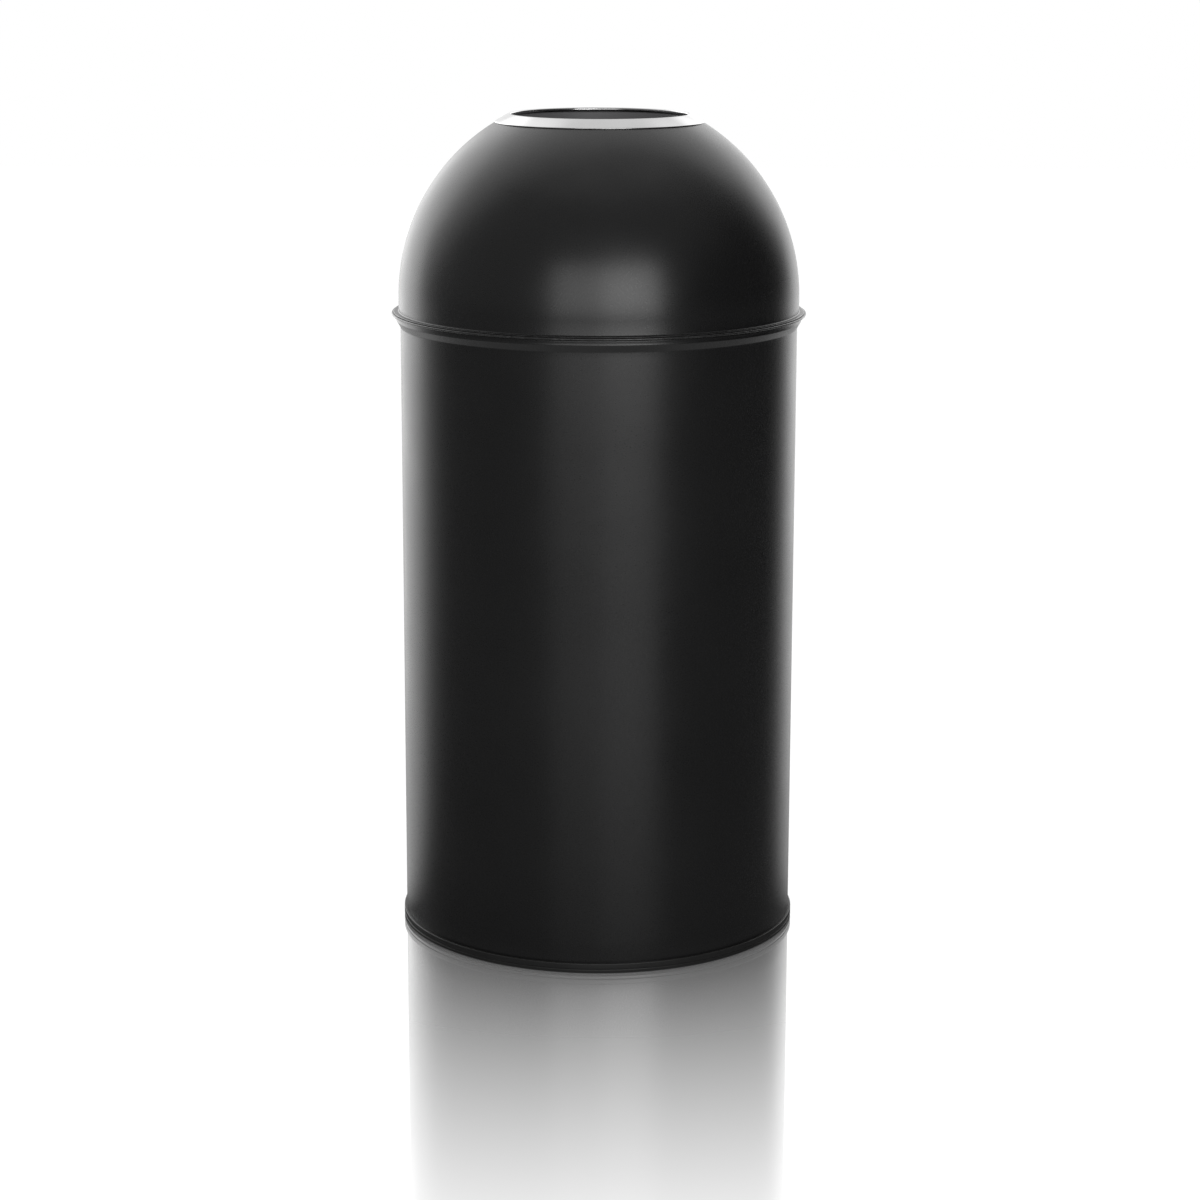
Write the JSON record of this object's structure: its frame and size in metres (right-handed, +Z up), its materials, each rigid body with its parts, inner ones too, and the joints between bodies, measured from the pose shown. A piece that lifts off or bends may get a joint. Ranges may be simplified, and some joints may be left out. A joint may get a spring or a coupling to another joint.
{
  "type": "dome top waste receptacle",
  "caption": "Open-top round waste receptacle: black steel body on a ridged base ring, lift-off dome lid with a bright ring round its opening, and a galvanised liner with a bail.",
  "frame": {"origin": "on the floor, under the centre of the base ring", "axes": "+Z up along the body's axis; the long seams are at the back, +Y, and the bail folds down towards +Y"},
  "size_m": [0.3976, 0.3976, 0.7923],
  "materials": {
    "powder_black": "satin black powder coat",
    "base_black": "satin black moulded plastic",
    "bright_trim": "polished bright steel",
    "zinc": "galvanised sheet with spangle",
    "plain_wire": "drawn steel wire, zinc plated",
    "grip_black": "matt black moulded plastic"
  },
  "bodies": {
    "body": {"body_shell": "powder_black", "seam_strap": "powder_black", "body_rim_wire": "plain_wire", "base_pan": "powder_black", "base_ring": "base_black"},
    "lid": {"dome_shell": "powder_black", "locating_skirt": "powder_black", "trim_ring": "bright_trim", "trim_studs": "plain_wire", "opening_collar": "powder_black", "trim_washers": "zinc", "trim_nuts": "zinc"},
    "liner": {"liner_shell": "zinc", "liner_bottom": "zinc", "liner_rim_wire": "plain_wire", "left_ear": "zinc", "right_ear": "zinc", "left_ear_rivets": "plain_wire", "right_ear_rivets": "plain_wire"},
    "bail": {"bail_handle": "plain_wire"},
    "grip": {"bail_grip": "grip_black"}
  },
  "joints": [
    {"name": "lid_lift", "type": "slide", "parent": "body", "child": "lid", "axis": [0, 0, 1], "range_m": [0, 0.75]},
    {"name": "liner_lift", "type": "slide", "parent": "body", "child": "liner", "axis": [0, 0, 1], "range_m": [0, 0.6]},
    {"name": "bail_swing", "type": "hinge", "parent": "liner", "child": "bail", "pos_m": [0, 0, 0.552], "axis": [1, 0, 0], "range_deg": [0, 161]},
    {"name": "grip_turn", "type": "hinge", "parent": "bail", "child": "grip", "pos_m": [0, 0.13729, 0.57498], "axis": [1, 0, 0], "continuous": true}
  ],
  "couplings": [
    {"joint": "liner_lift", "follows": "lid_lift", "ratio": 0.8}
  ]
}
